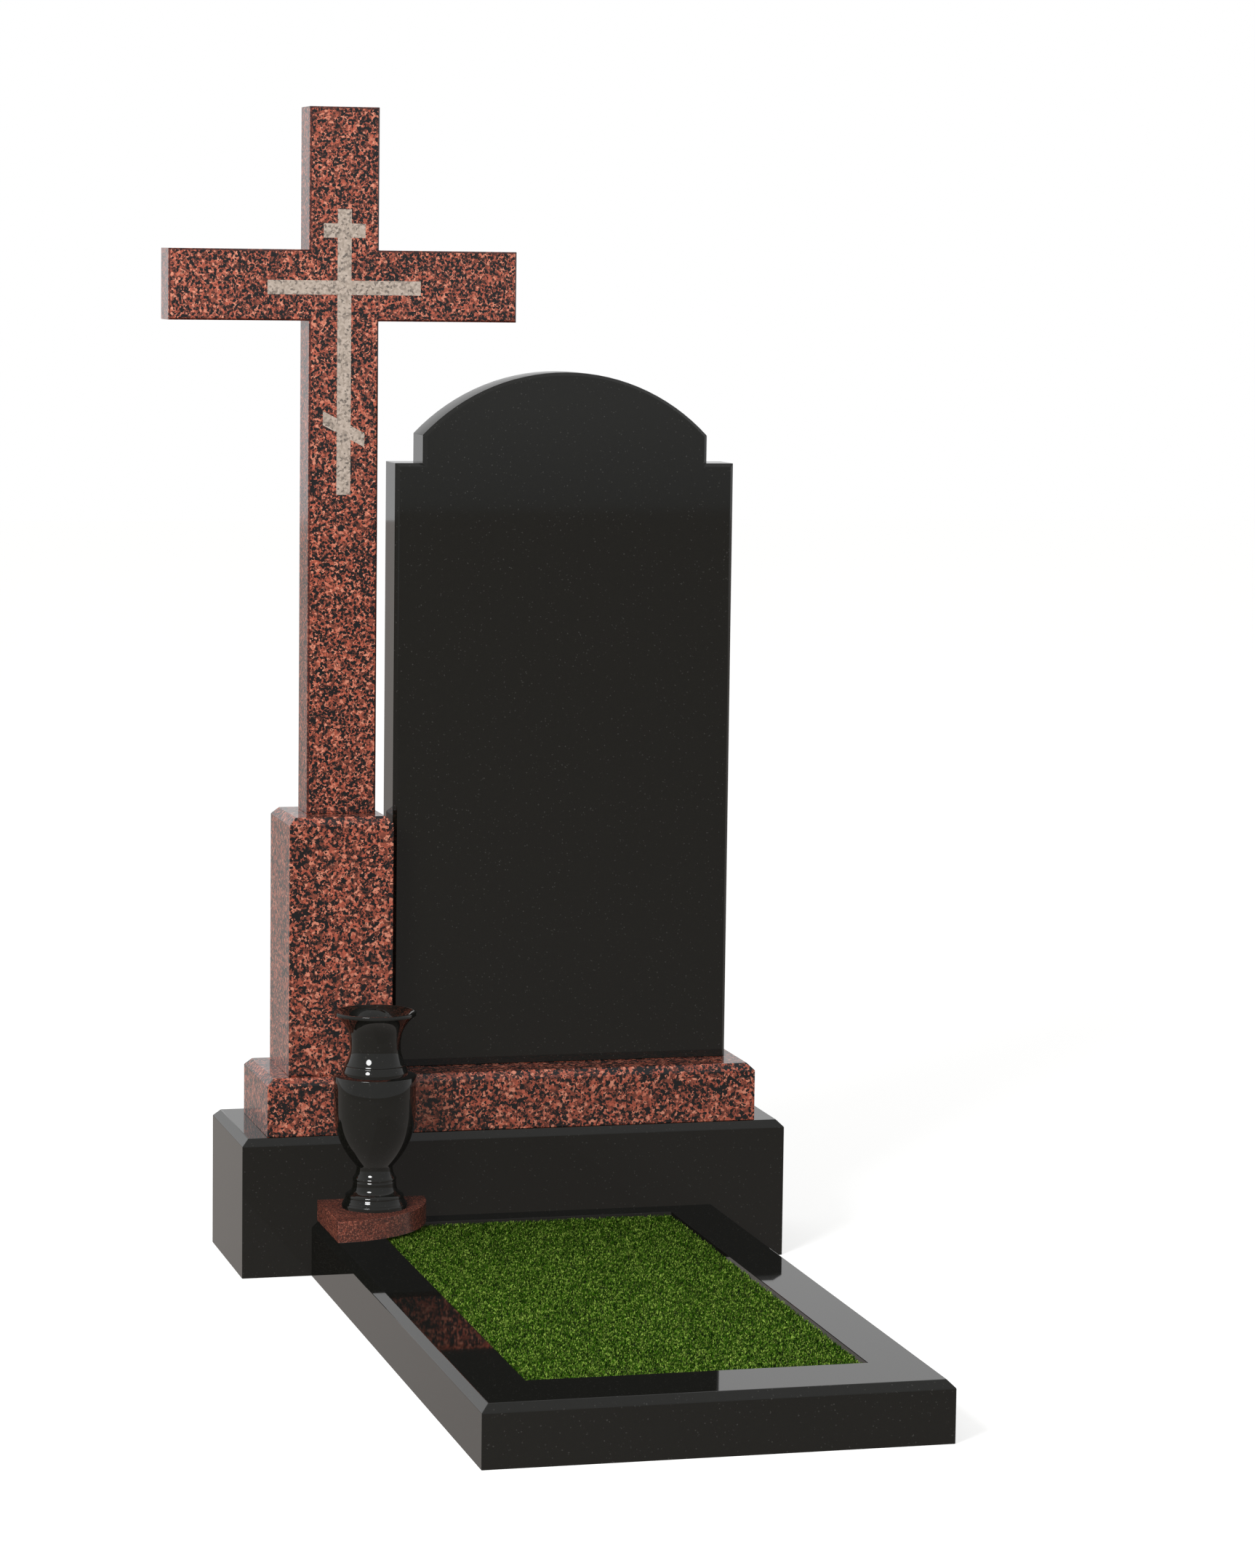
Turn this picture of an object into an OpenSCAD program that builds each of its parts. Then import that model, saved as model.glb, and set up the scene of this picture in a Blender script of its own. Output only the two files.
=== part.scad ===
// Granite family memorial: bevelled plinth, red base beam, cross on a pedestal, shouldered stele,
// kerb set with turf, quarter-round shelf and turned vase. Millimetres, +Z up, front faces -Y.

/* [Plinth] */
// Height of the plinth
plinth_h = 200; // [120:1:300]
// Plinth left of the base beam
plinth_left = 38; // [14:1:100]
// Plinth right of the base beam
plinth_right = 42; // [14:1:100]
// Plinth in front of the base beam
plinth_front = 12; // [10:0.5:60]
// Plinth behind the base beam
plinth_back = 46; // [14:1:120]
// Bevel on the top edges of plinth, beam, pedestal and kerb
edge_bevel = 10; // [4:0.5:11]

/* [Base beam] */
// Height of the base beam
beam_h = 83; // [60:1:140]
// Beam left of the pedestal
beam_left = 34; // [12:1:80]
// Beam right of the stele
beam_right = 26; // [12:1:80]
// Beam in front of the pedestal
beam_front = 20; // [12:1:60]
// Beam behind the pedestal
beam_back = 22; // [12:1:60]

/* [Cross pedestal] */
// Width of the pedestal
pedestal_w = 150; // [130:1:260]
// Depth of the pedestal
pedestal_d = 150; // [125:1:220]
// Height of the pedestal
pedestal_h = 370; // [200:1:600]

/* [Cross] */
// Height of the cross above its pedestal
cross_h = 1000; // [700:1:1300]
// Span of the cross arms
cross_span = 500; // [340:1:620]
// Width of the upright and height of the arms
cross_bar = 100; // [80:1:120]
// Thickness of the cross
cross_t = 70; // [50:1:84]
// Height of upright above the arms
cross_head = 200; // [120:1:300]
// Bevel on the front and back edges of the cross
cross_bevel = 3; // [1:0.5:6]
// Sideways offset of the cross from the pedestal's centre
cross_shift = 9; // [0:1:12]
// Fronts of cross and stele behind the pedestal's front
memorial_setback = 50; // [30:1:60]

/* [Inlaid cross] */
// Width of the inlaid strips
inlay_w = 20; // [12:0.5:26]
// Upright strip above the middle of the long crosspiece
inlay_up = 110; // [80:1:160]
// Upright strip below the middle of the long crosspiece
inlay_down = 292; // [240:1:400]
// Length of the long crosspiece
inlay_span = 220; // [160:1:320]
// Length of the title bar and of the slanted foot bar
inlay_short = 60; // [44:1:78]
// Middle of the title bar above the middle of the long crosspiece
title_rise = 80; // [50:1:100]
// Middle of the slanted bar below the middle of the long crosspiece
slant_low = 199; // [150:1:260]
// Drop of the slanted bar from its left end to its right
slant_drop = 31; // [10:1:40]
// Middle of the long crosspiece below the middle of the cross arms
inlay_sink = 3; // [0:0.5:20]
// Depth that the strips are let into the cross
inlay_t = 8; // [4:0.5:14]

/* [Stele] */
// Width of the stele
stele_w = 500; // [380:1:700]
// Height of the stele to its crown
stele_h = 1000; // [700:1:1300]
// Thickness of the stele
stele_t = 70; // [50:1:84]
// Depth of the square shoulders below the crown
shoulder_drop = 130; // [116:1:180]
// Width of each shoulder step
shoulder_w = 40; // [20:1:70]
// Rise of the arched crown
crown_rise = 90; // [60:1:110]
// Bevel on the front edges of the stele
stele_bevel = 5; // [2:0.5:8]
// Gap between the pedestal and the stele
stele_gap = 10; // [5:0.5:20]

/* [Kerb and turf] */
// Plinth left and right of the kerb
kerb_margin = 100; // [20:1:180]
// Length of the kerb in front of the plinth
kerb_l = 1080; // [800:1:1500]
// Height of the kerb
kerb_h = 80; // [50:1:110]
// Width of the side bars
kerb_side = 80; // [50:1:120]
// Width of the front bar
kerb_front_w = 110; // [60:1:160]
// Width of the low strip against the plinth
kerb_back_w = 40; // [20:1:80]
// Depth of the turf below the kerb's top
turf_drop = 4; // [2:0.5:15]

/* [Shelf] */
// Thickness of the quarter-round shelf
shelf_t = 30; // [20:1:50]
// Shelf past the vase's foot at its round front
shelf_lip = 15.5; // [4:0.5:30]
// Kerb left of the shelf
shelf_inset = 8; // [2:1:30]

/* [Vase] */
// Height of the stepped foot
vase_foot_h = 57; // [40:1:80]
// Height of the swelling body
vase_body_h = 132; // [100:1:170]
// Height of the collar and neck up to the throat
vase_neck_h = 40; // [34:1:60]
// Height of the lip that flares from the throat
vase_lip_h = 51; // [40:1:70]
// Radius of the foot
vase_foot_r = 46; // [40:0.5:56]
// Radius of the waist over the foot
vase_waist_r = 25.5; // [18:0.5:32]
// Radius of the body
vase_body_r = 58; // [50:0.5:70]
// Radius of the collar under the neck
vase_collar_r = 46; // [42:0.5:50]
// Radius of the throat, the narrowest place of the neck
vase_neck_r = 36; // [34:0.5:39]
// Radius of the flared lip
vase_lip_r = 57.5; // [50:0.5:68]
// Width of the lip's flat rim
vase_rim = 3; // [2:0.5:5]
// Radius of the bored hollow
vase_bore_r = 27; // [20:0.5:29]
// Depth of the bored hollow below the rim
vase_bore_depth = 172; // [80:1:185]
// Room between the vase's body and the plinth
vase_gap = 4; // [2:0.5:20]
// Room between the vase's body and the shelf's straight side
vase_side = 12; // [0:0.5:20]

/* [Hidden] */
$fn = 64;
eps = 0.5;

// stack of widths and depths, each course carried by the one below
beam_w = beam_left + pedestal_w + stele_gap + stele_w + beam_right;
beam_d = beam_front + pedestal_d + beam_back;
plinth_w = plinth_left + beam_w + plinth_right;
plinth_d = plinth_front + beam_d + plinth_back;
kerb_w = plinth_w - 2 * kerb_margin;

// places, from the plinth's front left corner on the ground
pedestal_x = plinth_left + beam_left;
pedestal_y = plinth_front + beam_front;
stele_x = pedestal_x + pedestal_w + stele_gap;
cross_mid = pedestal_x + pedestal_w / 2 + cross_shift;
memorial_y = pedestal_y + memorial_setback;
beam_top = plinth_h + beam_h;
pedestal_top = beam_top + pedestal_h;
arm_low = pedestal_top + cross_h - cross_head - cross_bar;

// shelf and vase in the corner of kerb and plinth
vase_widest_r = max(vase_body_r, vase_lip_r, vase_foot_r);
vase_x = vase_widest_r + vase_side;
vase_y = vase_widest_r + vase_gap;
shelf_x = kerb_margin + shelf_inset;
shelf_r = norm([vase_x, vase_y]) + vase_foot_r + shelf_lip;

// crown arc through the shoulder steps and the top
head_half = stele_w / 2 - shoulder_w;
crown_r = (head_half * head_half + crown_rise * crown_rise) / (2 * crown_rise);

// outer box, whose bottom centre is the origin
low_x = min(0, cross_mid - cross_span / 2);
high_x = max(plinth_w, cross_mid + cross_span / 2);
mid_x = (low_x + high_x) / 2;
mid_y = (plinth_d - kerb_l) / 2;

plinth_black = "#26252A";
granite_red = "#7A4A40";
inlay_pale = "#B5A89A";
turf_green = "#4F7A2A";

// extrudes a [y, z] outline along X
module along_x(length) {
    rotate([90, 0, 90])
        linear_extrude(length)
            children();
}

// extrudes an [x, z] outline along Y
module along_y(length) {
    translate([0, length, 0])
        rotate([90, 0, 0])
            linear_extrude(length)
                children();
}

// block with a bevel round its four top edges
module top_bevel_block(w, d, h, b) {
    intersection() {
        along_x(w)
            polygon([[0, 0], [d, 0], [d, h - b], [d - b, h], [b, h], [0, h - b]]);
        along_y(d)
            polygon([[0, 0], [w, 0], [w, h - b], [w - b, h], [b, h], [0, h - b]]);
    }
}

// block with a bevel round its front and back faces
module face_bevel_block(w, d, h, b) {
    intersection() {
        along_x(w)
            polygon([[b, 0], [d - b, 0], [d, b], [d, h - b], [d - b, h], [b, h], [0, h - b], [0, b]]);
        linear_extrude(h)
            polygon([[b, 0], [w - b, 0], [w, b], [w, d - b], [w - b, d], [b, d], [0, d - b], [0, b]]);
    }
}

module plinth() {
    color(plinth_black)
        top_bevel_block(plinth_w, plinth_d, plinth_h, edge_bevel);
}

module base_beam() {
    color(granite_red)
        translate([plinth_left, plinth_front, plinth_h])
            top_bevel_block(beam_w, beam_d, beam_h, edge_bevel);
}

module cross_pedestal() {
    color(granite_red)
        translate([pedestal_x, pedestal_y, beam_top])
            top_bevel_block(pedestal_w, pedestal_d, pedestal_h, edge_bevel);
}

// strip of the inlay centred on the origin, its right end lower by the drop
module inlay_strip(length, drop) {
    polygon([
        [-length / 2, drop / 2 - inlay_w / 2],
        [length / 2, -drop / 2 - inlay_w / 2],
        [length / 2, -drop / 2 + inlay_w / 2],
        [-length / 2, drop / 2 + inlay_w / 2]
    ]);
}

// outline of the inlay, [x, z] from the middle of its long crosspiece
module inlay_outline() {
    union() {
        translate([-inlay_w / 2, -inlay_down])
            square([inlay_w, inlay_up + inlay_down]);
        translate([0, title_rise])
            inlay_strip(inlay_short, 0);
        inlay_strip(inlay_span, 0);
        translate([0, -slant_low])
            inlay_strip(inlay_short, slant_drop);
    }
}

// inlay solid, standing out of the cross's face by the given length
module inlay_solid(out) {
    translate([cross_mid, memorial_y - out, arm_low + cross_bar / 2 - inlay_sink])
        along_y(inlay_t + out)
            inlay_outline();
}

module cross() {
    color(granite_red)
        difference() {
            union() {
                translate([cross_mid - cross_bar / 2, memorial_y, pedestal_top])
                    intersection() {
                        translate([0, 0, -2 * cross_bevel])
                            face_bevel_block(cross_bar, cross_t, cross_h + 2 * cross_bevel, cross_bevel);
                        cube([cross_bar, cross_t, cross_h]);
                    }
                translate([cross_mid - cross_span / 2, memorial_y, arm_low])
                    face_bevel_block(cross_span, cross_t, cross_bar, cross_bevel);
            }
            inlay_solid(eps);
        }
}

module inlay_cross() {
    color(inlay_pale)
        inlay_solid(0);
}

// disc of the crown, bevelled at its front rim
module crown_disc() {
    translate([stele_w / 2, 0, stele_h - crown_r])
        rotate([-90, 0, 0])
            union() {
                cylinder(h = stele_bevel, r1 = crown_r - stele_bevel, r2 = crown_r);
                translate([0, 0, stele_bevel])
                    cylinder(h = stele_t - stele_bevel, r = crown_r);
            }
}

// upright slab bevelled on its front side edges
module side_bevel_slab(w, h) {
    linear_extrude(h)
        polygon([
            [stele_bevel, 0],
            [w - stele_bevel, 0],
            [w, stele_bevel],
            [w, stele_t],
            [0, stele_t],
            [0, stele_bevel]
        ]);
}

module stele() {
    body_h = stele_h - shoulder_drop;
    head_low = body_h - 4 * stele_bevel;
    color(plinth_black)
        translate([stele_x, memorial_y, beam_top])
            union() {
                intersection() {
                    side_bevel_slab(stele_w, body_h);
                    along_x(stele_w)
                        polygon([
                            [0, 0],
                            [stele_t, 0],
                            [stele_t, body_h],
                            [stele_bevel, body_h],
                            [0, body_h - stele_bevel]
                        ]);
                }
                intersection() {
                    translate([shoulder_w, 0, head_low])
                        side_bevel_slab(stele_w - 2 * shoulder_w, stele_h - head_low + eps);
                    crown_disc();
                }
            }
}

// side bar bevelled on its outer top edge, outer side at x = 0
module kerb_bar() {
    along_y(kerb_l - kerb_front_w)
        polygon([
            [0, 0],
            [kerb_side, 0],
            [kerb_side, kerb_h],
            [edge_bevel, kerb_h],
            [0, kerb_h - edge_bevel]
        ]);
}

module kerb_left() {
    color(plinth_black)
        translate([kerb_margin, -kerb_l + kerb_front_w, 0])
            kerb_bar();
}

module kerb_right() {
    color(plinth_black)
        translate([kerb_margin + kerb_w, -kerb_l + kerb_front_w, 0])
            mirror([1, 0, 0])
                kerb_bar();
}

module kerb_front() {
    color(plinth_black)
        translate([kerb_margin, -kerb_l, 0])
            intersection() {
                along_x(kerb_w)
                    polygon([
                        [0, 0],
                        [kerb_front_w, 0],
                        [kerb_front_w, kerb_h],
                        [edge_bevel, kerb_h],
                        [0, kerb_h - edge_bevel]
                    ]);
                along_y(kerb_front_w)
                    polygon([
                        [0, 0],
                        [kerb_w, 0],
                        [kerb_w, kerb_h - edge_bevel],
                        [kerb_w - edge_bevel, kerb_h],
                        [edge_bevel, kerb_h],
                        [0, kerb_h - edge_bevel]
                    ]);
            }
}

module kerb_back() {
    color(plinth_black)
        translate([kerb_margin + kerb_side, -kerb_back_w, 0])
            cube([kerb_w - 2 * kerb_side, kerb_back_w, kerb_h]);
}

module turf_bed() {
    color(turf_green)
        translate([kerb_margin + kerb_side, -kerb_l + kerb_front_w, 0])
            cube([kerb_w - 2 * kerb_side, kerb_l - kerb_front_w - kerb_back_w, kerb_h - turf_drop]);
}

module vase_shelf() {
    color(granite_red)
        translate([shelf_x, 0, kerb_h])
            intersection() {
                cylinder(h = shelf_t, r = shelf_r);
                translate([0, -shelf_r - eps, 0])
                    cube([shelf_r + eps, shelf_r + eps, shelf_t]);
            }
}

// heights of the vase's stages above its foot
waist_z = vase_foot_h;
ledge_z = waist_z + vase_body_h;
throat_z = ledge_z + vase_neck_h;
vase_h = throat_z + vase_lip_h;
bore_z = vase_h - vase_bore_depth;

// outline points are [radius, height]; foot with a base band, a ring, a fillet and a bead
foot_curve = [
    [0, 0],
    [vase_foot_r, 0],
    [vase_foot_r, waist_z * 0.105],
    [vase_foot_r - 1.2, waist_z * 0.13],
    [vase_foot_r - 2.6, waist_z * 0.168],
    [vase_foot_r - 4.4, waist_z * 0.232],
    [vase_foot_r - 4.8, waist_z * 0.31],
    [vase_foot_r - 5.8, waist_z * 0.34],
    [vase_waist_r + 10.1, waist_z * 0.4],
    [vase_waist_r + 6.8, waist_z * 0.465],
    [vase_waist_r + 5.5, waist_z * 0.54],
    [vase_waist_r + 5.1, waist_z * 0.67],
    [vase_waist_r + 5.4, waist_z * 0.73],
    [vase_waist_r + 4.8, waist_z * 0.76],
    [vase_waist_r + 2.4, waist_z * 0.825],
    [vase_waist_r + 0.7, waist_z * 0.905],
    [vase_waist_r, waist_z]
];

// body swelling quickly from the waist and standing upright under its ledge
swell_low = waist_z + 2.2;
swell_h = 0.68 * vase_body_h;
body_curve = [
    for (i = [0 : 10])
        let (s = i / 10)
        [vase_waist_r + 0.2 + (vase_body_r - vase_waist_r - 0.2) * (1 - pow(1 - s, 2.6)), swell_low + swell_h * s]
];

// ledge, collar ring with a fine groove over it, and the neck drawn in to its throat
collar_top = ledge_z + 15.8;
neck_curve = concat([
    [vase_body_r, ledge_z - 1],
    [vase_body_r - 1, ledge_z],
    [vase_collar_r - 1.6, ledge_z],
    [vase_collar_r, ledge_z + 3],
    [vase_collar_r - 0.6, ledge_z + 9],
    [vase_collar_r - 2.2, ledge_z + 13.4],
    [vase_collar_r - 3, ledge_z + 14.6],
    [vase_collar_r - 2.9, collar_top]
], [
    for (i = [1 : 6])
        let (s = i / 6)
        [vase_neck_r + (vase_collar_r - 2.9 - vase_neck_r) * pow(1 - s, 2.1),
            collar_top + (throat_z - collar_top) * s]
]);

// lip flaring like a trumpet to its rim, and the dish inside it down to the bore
lip_curve = concat([
    for (i = [1 : 8])
        let (s = i / 8)
        [vase_neck_r + (vase_lip_r - vase_neck_r) * pow(s, 2.8), throat_z + 0.9 * vase_lip_h * s]
], [
    [vase_lip_r, vase_h]
], [
    for (i = [6 : -1 : 1])
        let (s = i / 6)
        [vase_bore_r + (vase_lip_r - vase_rim - vase_bore_r) * pow(s, 3.2), throat_z + vase_lip_h * s]
]);

// bored hollow down to its floor
bore_curve = [
    [vase_bore_r, throat_z],
    [vase_bore_r, bore_z + 7],
    [vase_bore_r - 7, bore_z],
    [0, bore_z]
];

module vase() {
    color(plinth_black)
        translate([shelf_x + vase_x, -vase_y, kerb_h + shelf_t])
            rotate_extrude()
                polygon(concat(foot_curve, body_curve, neck_curve, lip_curve, bore_curve));
}

translate([-mid_x, -mid_y, 0]) {
    plinth();
    base_beam();
    cross_pedestal();
    cross();
    inlay_cross();
    stele();
    kerb_left();
    kerb_right();
    kerb_front();
    kerb_back();
    turf_bed();
    vase_shelf();
    vase();
}
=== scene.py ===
import bpy, bmesh, math
import numpy as np
from mathutils import Matrix, Vector


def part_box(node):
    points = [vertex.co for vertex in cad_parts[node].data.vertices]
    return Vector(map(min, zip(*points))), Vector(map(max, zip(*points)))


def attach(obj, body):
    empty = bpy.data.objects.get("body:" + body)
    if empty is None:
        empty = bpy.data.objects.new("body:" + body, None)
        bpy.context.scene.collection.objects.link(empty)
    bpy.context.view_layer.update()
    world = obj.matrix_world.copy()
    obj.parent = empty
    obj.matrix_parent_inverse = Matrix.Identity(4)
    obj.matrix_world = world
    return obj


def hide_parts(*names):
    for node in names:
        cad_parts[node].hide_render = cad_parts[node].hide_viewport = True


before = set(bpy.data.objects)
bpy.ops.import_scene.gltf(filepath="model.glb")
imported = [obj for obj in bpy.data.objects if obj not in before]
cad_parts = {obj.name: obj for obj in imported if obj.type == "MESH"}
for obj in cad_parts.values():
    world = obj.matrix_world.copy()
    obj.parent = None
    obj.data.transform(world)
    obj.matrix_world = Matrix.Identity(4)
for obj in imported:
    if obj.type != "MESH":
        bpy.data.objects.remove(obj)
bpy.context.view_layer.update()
mm = 0.001
print("frame loaded")


polishIor = 1.5                             # of polished granite, black, red and pale
off, full = (0, 0, 0, 1), (1, 1, 1, 1)      # the two ends of a mask
colourA, colourB, mixed = 6, 7, 2           # a Mix node's colour sockets go by number, its names repeat


def linear(hexColour):                      # sRGB hex to linear rgba
    parts = [int(hexColour[i:i + 2], 16) / 255 for i in (1, 3, 5)]
    return [c / 12.92 if c <= 0.04045 else ((c + 0.055) / 1.055) ** 2.4 for c in parts] + [1.0]


def addNode(tree, kind, settings=None, links=None, stops=()):
    node = tree.nodes.new(kind)
    for name, value in (settings or {}).items():
        if isinstance(name, int) or name in node.inputs:        # a socket, by number or by name
            node.inputs[name].default_value = value
        else:
            setattr(node, name, value)
    for name, source in (links or {}).items():
        tree.links.new(source, node.inputs[name])
    if stops:                                                   # places and colours of a colour ramp
        elements = node.color_ramp.elements
        while len(elements) < len(stops):
            elements.new(0.5)
        for element, (place, colour) in zip(elements, stops):
            element.position = place
            element.color = colour
    return node


def newMaterial(name):
    material = bpy.data.materials.new(name)
    material.use_nodes = True
    material.node_tree.nodes.clear()
    return material, material.node_tree


def finishPiece(obj, material, slotName, *nodes, mirrored=True):
    obj.data.materials.clear()
    obj.data.materials.append(material)
    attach(obj, "root")
    if nodes:
        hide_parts(*nodes)
    obj.visible_glossy = mirrored           # low pieces stay out of the polish of the stones behind them


def addObject(name, data):
    obj = bpy.data.objects.new(name, data)
    bpy.context.scene.collection.objects.link(obj)
    return obj


view = {
    "place": (-1.4762, -5.9216, 1.4533),    # metres, in front of the memorial and left of it
    "turn": 14.849,                         # degrees to the right of +Y
    "dip": 6.573,                           # degrees below level
    "roll": 0.744,
    "focal": 6331.3,                        # in the same units as frameHeight
    "frameHeight": 2156,
    "sensorMm": 36,
    "farEnd": 100,                          # metres
}

cameraData = bpy.data.cameras.new("viewCamera")
cameraData.sensor_fit = "VERTICAL"
cameraData.sensor_height = view["sensorMm"]
cameraData.lens = view["focal"] * view["sensorMm"] / view["frameHeight"]
cameraData.clip_end = view["farEnd"]
camera = addObject("viewCamera", cameraData)
camera.matrix_world = (
    Matrix.Translation(view["place"])
    @ Matrix.Rotation(math.radians(-view["turn"]), 4, "Z")
    @ Matrix.Rotation(math.radians(90 - view["dip"]), 4, "X")
    @ Matrix.Rotation(math.radians(view["roll"]), 4, "Z")
)
bpy.context.scene.camera = camera

studio = {
    "ambient": 0.46,            # world light on matt surfaces
    "backdrop": 1.0,            # white, to the camera only
    "mirrorBehind": 0.76,       # what polish reflects behind the memorial
    "mirrorFront": 0.58,        # and in front of it, where the room is dimmer
    "mirrorLow": 0.42,          # in front, just above the floor's edge
    "lowHeights": (-0.058, -0.032),         # direction Z over which it rises from that
    "turnDepths": (-0.3, 0.3),              # direction Y over which front turns to behind
    "floorBehind": 0.42,        # what polish reflects of the floor behind the memorial
    "floorFront": 0.34,         # and of the floor in front
    "floorReach": (-1.5, 2.0),              # metres along Y from one to the other
    "floorTint": "#FFF6EF",                 # seen in the polish only
    "floorColour": "#E4E4E2",
    "floorInPolish": "#404040",
    "keyPlace": (-2.95, -2.9, 2.9),         # metres, high on the left and in front
    "glintPlace": (-2.92, -2.867, 2.877),   # a hand nearer the memorial than the key lamp
    "lampAim": (0, 0.3, 0.7),
    "lampSize": 1.73,
    "lampPower": 165,
    "floorLift": 0.64,          # glow that keeps the floor white to the camera, round its shadow
    "floorSize": 37,            # metres; its far edge shows as the horizon in the polish
}


def buildWorld():
    world = bpy.data.worlds.new("studioWorld")
    bpy.context.scene.world = world
    world.use_nodes = True
    tree = world.node_tree
    tree.nodes.clear()
    direction = addNode(tree, "ShaderNodeTexCoord").outputs["Generated"]
    axes = addNode(tree, "ShaderNodeSeparateXYZ", None, {"Vector": direction})
    low, high = studio["lowHeights"]
    front = addNode(tree, "ShaderNodeMapRange", {
        "From Min": low, "From Max": high, "To Min": studio["mirrorLow"], "To Max": studio["mirrorFront"],
    }, {"Value": axes.outputs["Z"]})
    near, far = studio["turnDepths"]
    mirror = addNode(tree, "ShaderNodeMapRange", {
        "From Min": near, "From Max": far, "To Max": studio["mirrorBehind"],
    }, {"Value": axes.outputs["Y"], "To Min": front.outputs["Result"]})
    path = addNode(tree, "ShaderNodeLightPath")
    matt = addNode(tree, "ShaderNodeMix", {"A": studio["ambient"]},
                   {"Factor": path.outputs["Is Glossy Ray"], "B": mirror.outputs["Result"]})
    seen = addNode(tree, "ShaderNodeMix", {"B": studio["backdrop"]},
                   {"Factor": path.outputs["Is Camera Ray"], "A": matt.outputs["Result"]})
    background = addNode(tree, "ShaderNodeBackground", {"Color": full},
                         {"Strength": seen.outputs["Result"]})
    addNode(tree, "ShaderNodeOutputWorld", None, {"Surface": background.outputs["Background"]})


def addLamp(name, place):
    data = bpy.data.lights.new(name, "AREA")
    data.shape = "DISK"
    data.size = studio["lampSize"]
    data.energy = studio["lampPower"]
    lamp = addObject(name, data)
    lamp.location = place
    aim = Vector(studio["lampAim"]) - Vector(place)
    lamp.rotation_euler = aim.to_track_quat("-Z", "Y").to_euler()
    lamp.visible_camera = False
    return lamp


def buildFloor():
    mesh = bpy.data.meshes.new("studioFloor")
    bm = bmesh.new()
    bmesh.ops.create_grid(bm, x_segments=1, y_segments=1, size=studio["floorSize"] / 2)
    bm.to_mesh(mesh)
    bm.free()
    floor = addObject("studioFloor", mesh)
    material, tree = newMaterial("paleFloor")
    path = addNode(tree, "ShaderNodeLightPath")
    inPolish = path.outputs["Is Glossy Ray"]
    colour = addNode(tree, "ShaderNodeMix", {
        "data_type": "RGBA",
        colourA: linear(studio["floorColour"]), colourB: linear(studio["floorInPolish"]),
    }, {"Factor": inPolish})
    matt = addNode(tree, "ShaderNodeBsdfDiffuse", None, {"Color": colour.outputs[mixed]})
    place = addNode(tree, "ShaderNodeTexCoord").outputs["Object"]
    axes = addNode(tree, "ShaderNodeSeparateXYZ", None, {"Vector": place})
    near, far = studio["floorReach"]
    mirror = addNode(tree, "ShaderNodeMapRange", {
        "From Min": near, "From Max": far,
        "To Min": studio["floorFront"], "To Max": studio["floorBehind"],
    }, {"Value": axes.outputs["Y"]})
    glossyGlow = addNode(tree, "ShaderNodeMath", {"operation": "MULTIPLY"},
                         {0: inPolish, 1: mirror.outputs["Result"]})
    glowLevel = addNode(tree, "ShaderNodeMath", {"operation": "MULTIPLY_ADD", 1: studio["floorLift"]},
                        {0: path.outputs["Is Camera Ray"], 2: glossyGlow.outputs[0]})
    tint = addNode(tree, "ShaderNodeMix", {
        "data_type": "RGBA", colourA: full, colourB: linear(studio["floorTint"]),
    }, {"Factor": inPolish})
    glow = addNode(tree, "ShaderNodeEmission", None,
                   {"Color": tint.outputs[mixed], "Strength": glowLevel.outputs[0]})
    both = addNode(tree, "ShaderNodeAddShader", None, {0: matt.outputs[0], 1: glow.outputs[0]})
    addNode(tree, "ShaderNodeOutputMaterial", None, {"Surface": both.outputs[0]})
    mesh.materials.append(material)


buildWorld()
keyLamp = addLamp("keyLamp", studio["keyPlace"])
keyLamp.visible_glossy = False
glintLamp = addLamp("glintLamp", studio["glintPlace"])
glintLamp.visible_diffuse = False           # stands for the key lamp in the vase's polish, and in no other
glintLamp.light_linking.receiver_collection = bpy.data.collections.new("glintReceivers")
buildFloor()
bpy.context.scene.view_settings.view_transform = "Standard"
print("studio built")


noiseDetail = {"mottle": 4.0, "outline": 2.0, "cluster": 2.0, "crumb": 3.0}


def grainCells(tree, point, sizeMm, channel):
    # random value for each crystal, crystals about sizeMm across
    cells = addNode(tree, "ShaderNodeTexVoronoi", {"Scale": 1 / (sizeMm * mm)}, {"Vector": point})
    split = addNode(tree, "ShaderNodeSeparateColor", None, {"Color": cells.outputs["Color"]})
    return split.outputs[channel]


def wobble(tree, point, sizeMm, reachMm):
    # bends the coordinates a little, so that crystals get ragged outlines
    noise = addNode(tree, "ShaderNodeTexNoise", {
        "Scale": 1 / (sizeMm * mm), "Detail": noiseDetail["outline"],
    }, {"Vector": point})
    centred = addNode(tree, "ShaderNodeVectorMath", {"operation": "SUBTRACT", 1: (0.5, 0.5, 0.5)},
                      {0: noise.outputs["Color"]})
    scaled = addNode(tree, "ShaderNodeVectorMath", {"operation": "SCALE", "Scale": reachMm * mm},
                     {0: centred.outputs[0]})
    moved = addNode(tree, "ShaderNodeVectorMath", {"operation": "ADD"}, {0: point, 1: scaled.outputs[0]})
    return moved.outputs[0]


blackGranite = {
    "base": "#0D0D09", "mottle": "#12120E", "mottleMm": 9,
    "speck": "#383735", "speckMm": 1.5, "speckFrom": 0.982,     # above that value a crystal is a speck
    "roughness": 0.03,
}


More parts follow.
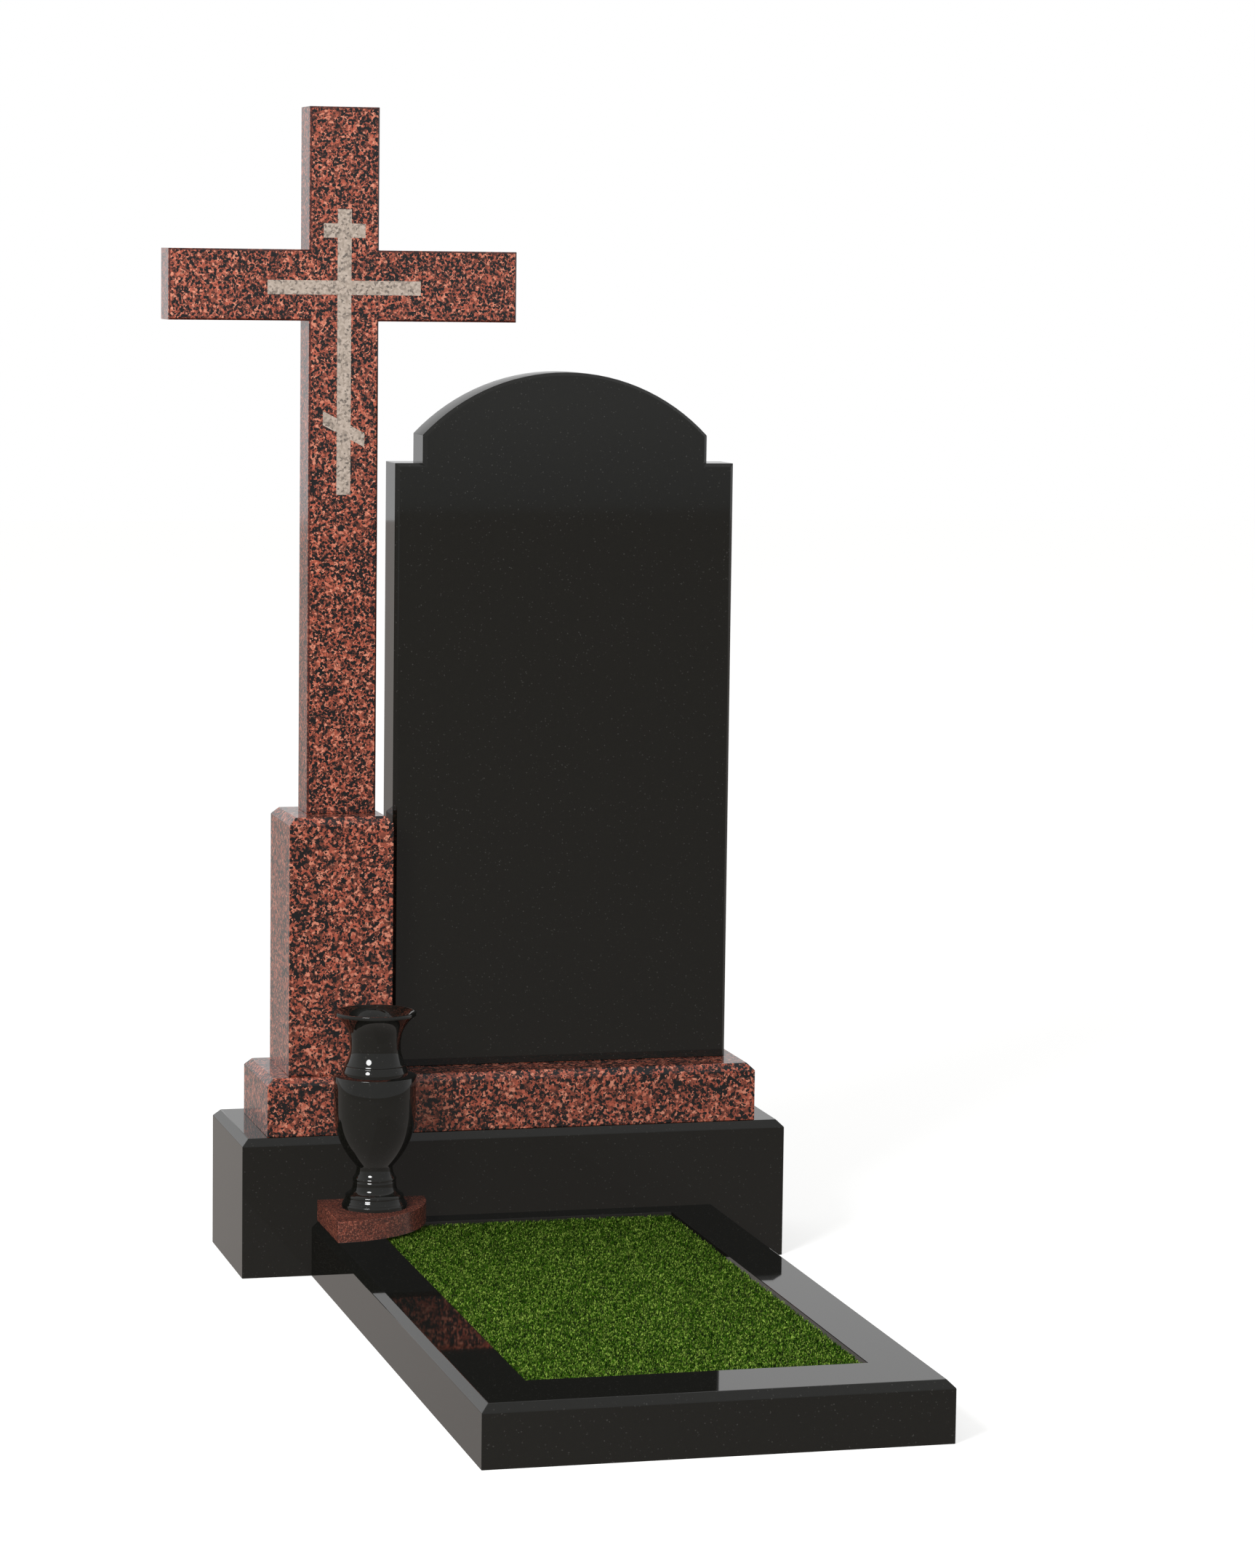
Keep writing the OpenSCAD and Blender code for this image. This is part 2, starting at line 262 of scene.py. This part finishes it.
def makeBlackGranite():
    # black gabbro, diamond sawn and polished: almost black, faint grey specks, a clear mirror at low angles
    values = blackGranite
    material, tree = newMaterial("polishedBlackGranite")
    point = addNode(tree, "ShaderNodeTexCoord").outputs["Object"]
    cloud = addNode(tree, "ShaderNodeTexNoise", {
        "Scale": 1 / (values["mottleMm"] * mm), "Detail": noiseDetail["mottle"],
    }, {"Vector": point})
    ground = addNode(tree, "ShaderNodeMix", {
        "data_type": "RGBA", colourA: linear(values["base"]), colourB: linear(values["mottle"]),
    }, {"Factor": cloud.outputs["Fac"]})
    grains = grainCells(tree, point, values["speckMm"], "Red")
    speck = addNode(tree, "ShaderNodeValToRGB", None, {"Fac": grains},
                    stops=((values["speckFrom"], off), (1.0, full)))
    colour = addNode(tree, "ShaderNodeMix", {"data_type": "RGBA", colourB: linear(values["speck"])},
                     {"Factor": speck.outputs["Color"], colourA: ground.outputs[mixed]})
    shader = addNode(tree, "ShaderNodeBsdfPrincipled", {"Roughness": values["roughness"], "IOR": polishIor},
                     {"Base Color": colour.outputs[mixed]})
    addNode(tree, "ShaderNodeOutputMaterial", None, {"Surface": shader.outputs[0]})
    return material


redGranite = {
    "black": "#101013", "umber": "#3C211A", "brown": "#8A4838", "red": "#B95B45", "salmon": "#E4957A",
    "feldsparStops": (0.0, 0.3, 0.66, 1.0),     # of umber, brown, red and salmon
    "bigMica": (0.62, 0.74), "bigShare": 0.95,  # where mica begins and is full, and its size in grains
    "fineMica": (0.72, 0.82), "fineShare": 0.5,
    "raggedSize": 0.6, "raggedReach": 0.55,     # in grains
    "clusterMm": 26, "cluster": 0.7,            # mica gathers in clouds
    "micaDulls": 0.05,                          # it takes a poorer polish than feldspar
    "even": "#6A3C31",                          # what a calmer stone is mixed towards
    # edge: painted shade, the dark maroon laid on the cross's bevels, and how strongly
    "edge": "#3E1410", "bevelShadeTone": 0.8,
    "bevelShadeSlopes": (0.5, 0.55, 0.85, 0.9),       # bevels face between these
}

redStones = {
    "cross": {"grainMm": 3.4, "calm": 0, "roughness": 0.08, "paintedBevelShade": True},
    "base": {"grainMm": 4.3, "calm": 0, "roughness": 0.08, "paintedBevelShade": False},
    "shelf": {"grainMm": 1.8, "calm": 0.5, "roughness": 0.16, "paintedBevelShade": False},
}


def micaMask(tree, point, sizeMm, channel, crowd, limits):
    cells = addNode(tree, "ShaderNodeMath", {"operation": "ADD"},
                    {0: grainCells(tree, point, sizeMm, channel), 1: crowd})
    mask = addNode(tree, "ShaderNodeValToRGB", None, {"Fac": cells.outputs[0]},
                   stops=list(zip(limits, (off, full))))
    return mask.outputs["Color"]


def bevelShadeMask(tree):
    # picks the faces that lean half-way between the front and the sides, to paint shade on these bevels
    values = redGranite
    facing = addNode(tree, "ShaderNodeTexCoord").outputs["Normal"]
    across = addNode(tree, "ShaderNodeSeparateXYZ", None, {"Vector": facing})
    slope = addNode(tree, "ShaderNodeMath", {"operation": "ABSOLUTE"}, {0: across.outputs["Y"]})
    tone = (values["bevelShadeTone"],) * 3 + (1,)
    mask = addNode(tree, "ShaderNodeValToRGB", None, {"Fac": slope.outputs[0]},
                   stops=list(zip(values["bevelShadeSlopes"], (off, tone, tone, off))))
    return mask.outputs["Color"]


def makeRedGranite(name, kind):
    # coarse red granite, polished: feldspar from brick to salmon in a ragged net of black mica
    values = redGranite
    grainMm = kind["grainMm"]
    material, tree = newMaterial(name)
    point = addNode(tree, "ShaderNodeTexCoord").outputs["Object"]
    ragged = wobble(tree, point, grainMm * values["raggedSize"], grainMm * values["raggedReach"])
    shades = [linear(values[shade]) for shade in ("umber", "brown", "red", "salmon")]
    feldspar = addNode(tree, "ShaderNodeValToRGB", None, {"Fac": grainCells(tree, ragged, grainMm, "Red")},
                       stops=list(zip(values["feldsparStops"], shades)))
    cloud = addNode(tree, "ShaderNodeTexNoise", {
        "Scale": 1 / (values["clusterMm"] * mm), "Detail": noiseDetail["cluster"],
    }, {"Vector": point})
    crowd = addNode(tree, "ShaderNodeMath", {
        "operation": "MULTIPLY_ADD", 1: values["cluster"], 2: -values["cluster"] / 2,
    }, {0: cloud.outputs["Fac"]}).outputs[0]
    micaBig = micaMask(tree, ragged, grainMm * values["bigShare"], "Green", crowd, values["bigMica"])
    micaFine = micaMask(tree, ragged, grainMm * values["fineShare"], "Blue", crowd, values["fineMica"])
    layers = [(micaFine, "black"), (micaBig, "black")]
    # painted shade: the bevels are darkened towards the edge colour
    if kind["paintedBevelShade"]:
        layers.append((bevelShadeMask(tree), "edge"))
    colour = feldspar.outputs["Color"]
    for mask, shade in layers:
        colour = addNode(tree, "ShaderNodeMix", {"data_type": "RGBA", colourB: linear(values[shade])},
                         {"Factor": mask, colourA: colour}).outputs[mixed]
    if kind["calm"]:
        colour = addNode(tree, "ShaderNodeMix", {
            "data_type": "RGBA", "Factor": kind["calm"], colourB: linear(values["even"]),
        }, {colourA: colour}).outputs[mixed]
    polish = addNode(tree, "ShaderNodeMath", {
        "operation": "MULTIPLY_ADD", 1: values["micaDulls"], 2: kind["roughness"],
    }, {0: micaBig})
    shader = addNode(tree, "ShaderNodeBsdfPrincipled", {"IOR": polishIor},
                     {"Base Color": colour, "Roughness": polish.outputs[0]})
    addNode(tree, "ShaderNodeOutputMaterial", None, {"Surface": shader.outputs[0]})
    return material


paleGranite = {
    "grey": "#6E655E", "middle": "#AA9B8E", "light": "#C6B6A9",
    "grainStops": (0.0, 0.3, 1.0),              # of those three
    "grainMm": 3.0,
    "raggedSize": 0.7, "raggedReach": 0.5,      # in grains
    "roughness": 0.12,
}


def makePaleGranite():
    # fine beige granite, polished flush with the cross: quiet salt-and-pepper grain
    values = paleGranite
    material, tree = newMaterial("polishedPaleGranite")
    point = addNode(tree, "ShaderNodeTexCoord").outputs["Object"]
    grainMm = values["grainMm"]
    ragged = wobble(tree, point, grainMm * values["raggedSize"], grainMm * values["raggedReach"])
    shades = [linear(values[shade]) for shade in ("grey", "middle", "light")]
    grains = addNode(tree, "ShaderNodeValToRGB", None, {"Fac": grainCells(tree, ragged, grainMm, "Red")},
                     stops=list(zip(values["grainStops"], shades)))
    shader = addNode(tree, "ShaderNodeBsdfPrincipled", {"Roughness": values["roughness"], "IOR": polishIor},
                     {"Base Color": grains.outputs["Color"]})
    addNode(tree, "ShaderNodeOutputMaterial", None, {"Surface": shader.outputs[0]})
    return material


blackStone = makeBlackGranite()
redStone = makeRedGranite("polishedRedGranite", redStones["cross"])
coarseStone = makeRedGranite("coarseRedGranite", redStones["base"])
shelfStone = makeRedGranite("fineRedGranite", redStones["shelf"])
paleStone = makePaleGranite()
print("stones mixed")


cutting = {
    "arris": 0.7, "arrisSegments": 2,       # millimetres, as the other lengths here
    "narrow": 0.9,                          # a thinner face belongs to an arris
    "weld": 0.01,
    "sharpMargin": 0.5,                     # round the inlay's pocket and the kerb's joint, left sharp
    "sharpAngle": 20,                       # degrees, a mason's edge is sharper
    "turnAngle": 1, "flatAngle": 0.5,       # a curve turns more than the first, a flat less than the second
}


def isNarrow(face):
    longest = max(edge.calc_length() for edge in face.edges)
    return face.calc_area() < longest * cutting["narrow"] * mm


def isTurning(edge):
    # an edge between two four-sided strips of one curved face
    slight = cutting["turnAngle"] < math.degrees(edge.calc_face_angle(0)) < cutting["sharpAngle"]
    return slight and all(len(face.verts) == 4 and not isNarrow(face) for face in edge.link_faces)


def cutStone(name, node, material, slotName, keepOut=(), mirrored=True):
    # a copy of the CAD block with its arrises just broken, as a mason leaves them
    sharp = math.radians(cutting["sharpAngle"])
    bm = bmesh.new()
    bm.from_mesh(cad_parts[node].data)
    bmesh.ops.remove_doubles(bm, verts=bm.verts, dist=cutting["weld"] * mm)
    bmesh.ops.dissolve_limit(bm, angle_limit=math.radians(cutting["flatAngle"]),
                             verts=bm.verts, edges=bm.edges)
    edges = []
    for edge in bm.edges:
        if not edge.is_manifold or edge.calc_face_angle(0) < sharp:
            continue
        middle = (edge.verts[0].co + edge.verts[1].co) / 2
        if any(all(low <= c <= high for c, low, high in zip(middle, *box)) for box in keepOut):
            continue
        edges.append(edge)
    bmesh.ops.bevel(bm, geom=edges, offset=cutting["arris"] * mm, offset_type="OFFSET",
                    affect="EDGES", segments=cutting["arrisSegments"], profile=0.5, material=-1,
                    clamp_overlap=True)
    for face in bm.faces:           # arrises and curved strips are smooth, flat polish stays true
        face.smooth = isNarrow(face) or any(isTurning(edge) for edge in face.edges)
    for edge in bm.edges:
        edge.smooth = edge.calc_face_angle(0) < sharp
    mesh = bpy.data.meshes.new(name)
    bm.to_mesh(mesh)
    bm.free()
    finishPiece(addObject(name, mesh), material, slotName, node, mirrored=mirrored)


margin = cutting["sharpMargin"] * mm
inlayLow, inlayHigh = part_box("inlay_cross")
pocket = ([c - margin for c in inlayLow], [c + margin for c in inlayHigh])
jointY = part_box("kerb_left")[0][1]          # the kerb's bars meet here, closed
joint = ((-math.inf, jointY - margin, -math.inf), (math.inf, jointY + margin, math.inf))

cutStone("plinthStone", "plinth", blackStone, "black_granite")
cutStone("beamStone", "base_beam", coarseStone, "red_granite")
cutStone("pedestalStone", "cross_pedestal", coarseStone, "red_granite")
cutStone("crossStone", "cross", redStone, "red_granite", [pocket])
cutStone("steleStone", "stele", blackStone, "black_granite")
for side in ("left", "right", "front", "back"):
    cutStone(side + "KerbStone", "kerb_" + side, blackStone, "black_granite", [joint], mirrored=False)
cutStone("shelfStone", "vase_shelf", shelfStone, "red_granite", mirrored=False)
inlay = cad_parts["inlay_cross"]
inlay.data.materials.clear()
inlay.data.materials.append(paleStone)
print("stones cut")


vase = {
    "footR": 46, "waistR": 25.5, "bodyR": 58, "collarR": 46, "throatR": 36, "lipR": 57.5, "boreR": 27,
    "footH": 57, "bodyH": 132, "neckH": 40, "lipH": 51, "boreDepth": 172, "rim": 3,     # millimetres
    "footCurve": (                          # underside, base band, ogee, ring: out from footR, up from 0
        (-1, 0), (-0.2, 0.3), (0, 1), (0, 5.2), (-0.3, 5.9), (-1.1, 6.4), (-1.4, 7), (-1.1, 7.6),
        (-1.5, 8.2), (-2.6, 9.6), (-3.7, 11.4), (-4.3, 13), (-4.6, 14.2), (-5, 14.7), (-5, 15.2),
        (-4.6, 15.8), (-4.5, 16.6), (-4.7, 17.8), (-5.2, 18.9), (-6.2, 20), (-7.8, 21.1)),
    "stemCurve": (                          # fillet, stem, bead, waist: out from waistR, up from 0
        (10.1, 22.6), (8.3, 24.1), (7, 25.8), (6.2, 27.8), (5.7, 30), (5.3, 33), (5.1, 36), (5.1, 38.4),
        (4.6, 38.9), (4.6, 39.6), (5.2, 40.2), (5.5, 41.4), (5.2, 42.6), (4.4, 43.9), (3.2, 45.4),
        (2, 47.6), (1.1, 50.2), (0.5, 53), (0.15, 56), (0.1, 58.2)),
    "bodyStart": (0.2, 2.2),                # out from waistR, up from footH
    "bodySwell": 0.68, "bodyPower": 2.6,    # the share of bodyH that swells, and how soon
    "shoulderCurve": ((0, -0.9), (-0.25, -0.3), (-0.9, 0)),     # out from bodyR, up from the shoulder
    "collarCurve": (                        # out from collarR, up from the shoulder
        (-1.8, 0), (-0.7, 0.5), (-0.2, 1.6), (0, 3.6), (-0.2, 5.6), (-0.7, 7.4), (-1.4, 9.4), (-2, 11.4),
        (-2.5, 13.2), (-2.7, 14), (-3.5, 14.5), (-3.5, 15.1), (-2.9, 15.6)),
    "neckStart": (-2.9, 15.8),              # out from collarR, up from the shoulder
    "neckPower": 2.1,
    "lipPower": 2.8, "lipShare": 0.9,       # of lipH that flares, the rest is its edge
    "lipCurve": ((0, -1), (-0.3, -0.3), (-1, 0)),               # out from lipR, up from the top
    "rimEase": 0.4,
    "dishPower": 3.2, "dishDrop": 0.4,
    "boreCurve": ((0, 7), (-2, 2), (-7, 0)),                    # out from boreR, up from the bore's floor
    "bodyRows": 32, "neckRows": 16, "lipRows": 24, "turns": 128,
    "weld": 0.005, "creaseAngle": 50,       # millimetres, degrees
}


def placed(curve, radius, height):
    return [(radius + out, height + up) for out, up in curve]


def vaseOutline():
    # from the middle of the foot up the outside, over the lip and down the bore
    v = vase
    shoulder = v["footH"] + v["bodyH"]
    throat = shoulder + v["neckH"]
    top = throat + v["lipH"]
    floor = top - v["boreDepth"]
    foot = [(0, 0)] + placed(v["footCurve"], v["footR"], 0) + placed(v["stemCurve"], v["waistR"], 0)
    waist, bottom = v["waistR"] + v["bodyStart"][0], v["footH"] + v["bodyStart"][1]
    body = []
    for i in range(v["bodyRows"] + 1):
        s = i / v["bodyRows"]
        swell = 1 - (1 - s) ** v["bodyPower"]
        body.append((waist + (v["bodyR"] - waist) * swell, bottom + v["bodySwell"] * v["bodyH"] * s))
    body += placed(v["shoulderCurve"], v["bodyR"], shoulder)
    collar = placed(v["collarCurve"], v["collarR"], shoulder)
    wide, up = v["collarR"] + v["neckStart"][0], v["neckStart"][1]
    neck = []
    for i in range(v["neckRows"] + 1):
        s = i / v["neckRows"]
        radius = v["throatR"] + (wide - v["throatR"]) * (1 - s) ** v["neckPower"]
        neck.append((radius, shoulder + up + (v["neckH"] - up) * s))
    rim = v["lipR"] - v["rim"]
    lip, dish = [], []
    for i in range(1, v["lipRows"] + 1):
        s = i / v["lipRows"]
        outer = v["throatR"] + (v["lipR"] - v["throatR"]) * s ** v["lipPower"]
        inner = v["boreR"] + (rim - v["boreR"]) * s ** v["dishPower"]
        lip.append((outer, throat + v["lipShare"] * v["lipH"] * s))
        dish.append((inner, throat - v["dishDrop"] + v["lipH"] * s))
    lip += placed(v["lipCurve"], v["lipR"], top) + [(rim + v["rimEase"], top)]
    bore = placed(v["boreCurve"], v["boreR"], floor) + [(0, floor)]
    return foot + body + collar + neck + lip + dish[::-1] + bore


def buildVase():
    low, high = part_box("vase")
    centre = Vector(((low[0] + high[0]) / 2, (low[1] + high[1]) / 2, low[2]))
    bm = bmesh.new()
    points = [bm.verts.new(centre + Vector((radius, 0, height)) * mm) for radius, height in vaseOutline()]
    line = [bm.edges.new(pair) for pair in zip(points, points[1:])]
    bmesh.ops.spin(bm, geom=points + line, cent=centre, axis=(0, 0, 1), angle=math.tau,
                   steps=vase["turns"], use_merge=True)
    bmesh.ops.remove_doubles(bm, verts=bm.verts, dist=vase["weld"] * mm)
    bmesh.ops.recalc_face_normals(bm, faces=bm.faces)
    for face in bm.faces:
        face.smooth = True
    mesh = bpy.data.meshes.new("turnedVase")
    bm.to_mesh(mesh)
    bm.free()
    mesh.set_sharp_from_angle(angle=math.radians(vase["creaseAngle"]))
    piece = addObject("turnedVase", mesh)
    finishPiece(piece, blackStone, "black_granite", "vase", mirrored=False)
    glintLamp.light_linking.receiver_collection.objects.link(piece)


buildVase()
print("vase turned")


turf = {
    "seed": 7, "patches": 2, "bladesPerPatch": 60000,
    "bladeMm": 7.5, "lengths": (0.6, 1.15),             # shortest and longest, as shares of bladeMm
    "bladeWidthMm": 1.6, "widths": (0.7, 1.2),
    "soilDropMm": 5, "tipMm": 2.5, "rises": (0.35, 1.0),        # tips stand up to tipMm above the bed's box
    "kneeOut": 0.4, "kneeUp": 0.72, "kneeWidth": 0.8,   # where a blade bends over, as shares of the whole
    "leastReachMm": 1, "sideMarginMm": 1.5, "edgeGapMm": 0.4,
    # root and soil: painted shade, near black, low among the blades and in the gaps between them
    "root": "#0A1403", "dark": "#152F07", "middle": "#447312", "light": "#B6D660", "soil": "#121A08",
    "toneStops": (0.1, 0.6, 1.0), "toneMm": 2.6,        # of dark, middle and light; size of one tone's spot
    "backShade": 0.3,                                   # towards the plinth
    "bladeRoughness": 0.8, "bladeIor": 1.35, "bladeSpecular": 0.12,
    "crumbMm": 4, "soilRoughness": 0.95,
}
turfLow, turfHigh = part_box("turf_bed")


def makeGrass():
    # short mown grass: thin waxy blades, with painted shade taking them to near black at the root, some
    # yellowish tips
    material, tree = newMaterial("mownGrass")
    point = addNode(tree, "ShaderNodeTexCoord").outputs["Object"]
    axes = addNode(tree, "ShaderNodeSeparateXYZ", None, {"Vector": point})
    shades = [linear(turf[shade]) for shade in ("dark", "middle", "light")]
    spots = grainCells(tree, point, turf["toneMm"], "Red")
    tone = addNode(tree, "ShaderNodeValToRGB", None, {"Fac": spots},
                   stops=list(zip(turf["toneStops"], shades)))
    # painted shade: low down, the blades are mixed towards the root colour
    rise = addNode(tree, "ShaderNodeMapRange", {
        "From Min": turfHigh[2] - turf["soilDropMm"] * mm, "From Max": turfHigh[2],
    }, {"Value": axes.outputs["Z"]})
    rootShaded = addNode(tree, "ShaderNodeMix", {"data_type": "RGBA", colourA: linear(turf["root"])},
                     {"Factor": rise.outputs["Result"], colourB: tone.outputs["Color"]})
    shade = addNode(tree, "ShaderNodeMapRange", {
        "From Min": (turfLow[1] + turfHigh[1]) / 2, "From Max": turfHigh[1], "To Max": turf["backShade"],
    }, {"Value": axes.outputs["Y"]})
    colour = addNode(tree, "ShaderNodeMix", {"data_type": "RGBA", colourB: linear(turf["root"])},
                     {"Factor": shade.outputs["Result"], colourA: rootShaded.outputs[mixed]})
    shader = addNode(tree, "ShaderNodeBsdfPrincipled", {
        "Roughness": turf["bladeRoughness"], "IOR": turf["bladeIor"],
        "Specular IOR Level": turf["bladeSpecular"],
    }, {"Base Color": colour.outputs[mixed]})
    addNode(tree, "ShaderNodeOutputMaterial", None, {"Surface": shader.outputs[0]})
    return material


def makeSoil():
    # crumbly loam under the grass, painted nearly black green as shade, so that gaps between blades look
    # deep
    material, tree = newMaterial("turfSoil")
    point = addNode(tree, "ShaderNodeTexCoord").outputs["Object"]
    crumbs = addNode(tree, "ShaderNodeTexNoise", {
        "Scale": 1 / (turf["crumbMm"] * mm), "Detail": noiseDetail["crumb"],
    }, {"Vector": point})
    colour = addNode(tree, "ShaderNodeMix", {
        "data_type": "RGBA", colourA: linear(turf["soil"]), colourB: linear(turf["dark"]),
    }, {"Factor": crumbs.outputs["Fac"]})
    shader = addNode(tree, "ShaderNodeBsdfPrincipled", {"Roughness": turf["soilRoughness"]},
                     {"Base Color": colour.outputs[mixed]})
    addNode(tree, "ShaderNodeOutputMaterial", None, {"Surface": shader.outputs[0]})
    return material


def buildSoil():
    size = Vector(turfHigh) - Vector(turfLow)
    size.z -= turf["soilDropMm"] * mm
    bm = bmesh.new()
    bmesh.ops.create_cube(bm, size=1)
    bmesh.ops.scale(bm, vec=size, verts=bm.verts)
    bmesh.ops.translate(bm, vec=Vector(turfLow) + size / 2, verts=bm.verts)
    mesh = bpy.data.meshes.new("turfSoil")
    bm.to_mesh(mesh)
    bm.free()
    finishPiece(addObject("turfSoil", mesh), makeSoil(), "turf", "turf_bed", mirrored=False)


def buildPatch(index, material):
    # one stretch of the lawn, each blade a folded-over ribbon with a pointed tip
    rng = np.random.default_rng(turf["seed"] + index)
    low, high = np.array(turfLow), np.array(turfHigh)
    span = (high[1] - low[1]) / turf["patches"]
    count = turf["bladesPerPatch"]
    margin = turf["sideMarginMm"] * mm
    length = turf["bladeMm"] * mm * rng.uniform(*turf["lengths"], count)
    root = np.stack([
        rng.uniform(low[0] + margin, high[0] - margin, count),
        rng.uniform(low[1] + span * index, low[1] + span * (index + 1), count),
        np.full(count, high[2] - turf["soilDropMm"] * mm),
    ], axis=1)
    turn = rng.uniform(0, math.tau, count)
    lean = np.stack([np.cos(turn), np.sin(turn), np.zeros(count)], axis=1)
    across = np.stack([-np.sin(turn), np.cos(turn), np.zeros(count)], axis=1)
    half = across * (turf["bladeWidthMm"] * mm / 2 * rng.uniform(*turf["widths"], count)[:, None])
    rise = (turf["soilDropMm"] + turf["tipMm"]) * mm * rng.uniform(*turf["rises"], count)
    upward = np.zeros((count, 3))
    upward[:, 2] = rise
    reach = np.sqrt(np.maximum(length ** 2 - rise ** 2, (turf["leastReachMm"] * mm) ** 2))[:, None] * lean
    knee = root + reach * turf["kneeOut"] + upward * turf["kneeUp"]
    corners = np.stack([
        root - half, root + half,
        knee + half * turf["kneeWidth"], knee - half * turf["kneeWidth"],
        root + reach + upward,
    ], axis=1)
    for axis in (0, 1):
        gap = turf["edgeGapMm"] * mm
        corners[..., axis] = np.clip(corners[..., axis], low[axis] + gap, high[axis] - gap)
    first = np.arange(count)[:, None] * corners.shape[1]
    blades, tips = first + (0, 1, 2, 3), first + (3, 2, 4)
    mesh = bpy.data.meshes.new(f"turfPatch{index + 1}")
    mesh.from_pydata(corners.reshape(-1, 3).tolist(), [], blades.tolist() + tips.tolist())
    mesh.update()
    finishPiece(addObject(mesh.name, mesh), material, "turf", "turf_bed", mirrored=False)


buildSoil()
grass = makeGrass()
for patch in range(turf["patches"]):
    buildPatch(patch, grass)
print("turf grown")
